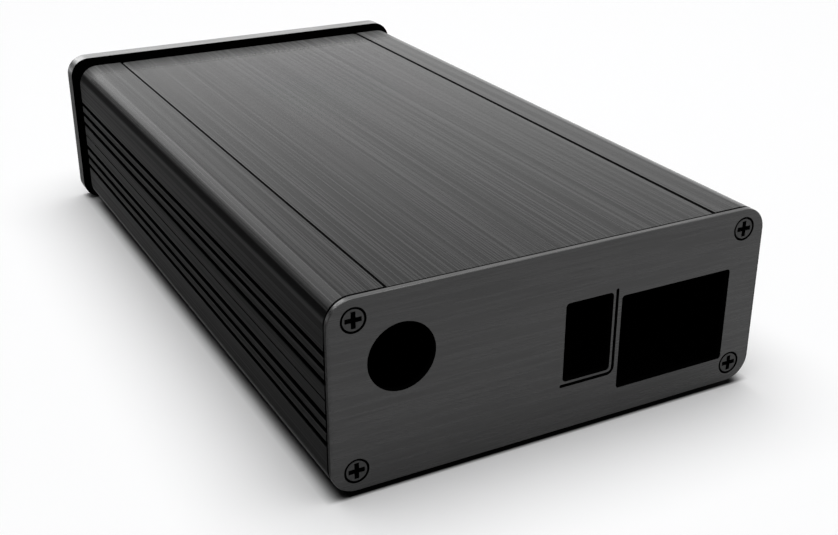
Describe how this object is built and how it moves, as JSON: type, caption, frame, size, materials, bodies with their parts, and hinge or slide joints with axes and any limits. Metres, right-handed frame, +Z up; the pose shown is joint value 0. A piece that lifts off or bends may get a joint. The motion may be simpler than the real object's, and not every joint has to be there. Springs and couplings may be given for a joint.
{
  "type": "amplifier chassis",
  "caption": "Low black box of extruded grooved side profiles, sliding covers, a thick front panel and a rear panel with connector, switch and mains inlet cut-outs.",
  "frame": {"origin": "on the floor, under the middle of the chassis", "axes": "+X to the right seen from the front, +Y to the rear, +Z up"},
  "size_m": [0.1168, 0.2078, 0.0488],
  "materials": {
    "anodised_body": "black anodised, brushed along the length",
    "anodised_front": "black anodised, fine brushed, satin edges",
    "anodised_rear": "black anodised, brushed from side to side",
    "black_spacer": "matt black",
    "blackened_screw": "black oxide",
    "foot_rubber": "matt"
  },
  "bodies": {
    "root": {"side_profile_right": "anodised_body", "side_profile_left": "anodised_body", "top_cover": "anodised_body", "bottom_cover": "anodised_body", "spacer_plate": "black_spacer", "front_panel": "anodised_front", "rear_panel": "anodised_rear", "front_screw_lower_left": "blackened_screw", "front_screw_upper_left": "blackened_screw", "front_screw_lower_right": "blackened_screw", "front_screw_upper_right": "blackened_screw", "rear_screw_lower_left": "blackened_screw", "rear_screw_upper_left": "blackened_screw", "rear_screw_lower_right": "blackened_screw", "rear_screw_upper_right": "blackened_screw", "foot_front_left": "foot_rubber", "foot_front_right": "foot_rubber", "foot_rear_left": "foot_rubber", "foot_rear_right": "foot_rubber"}
  },
  "joints": []
}
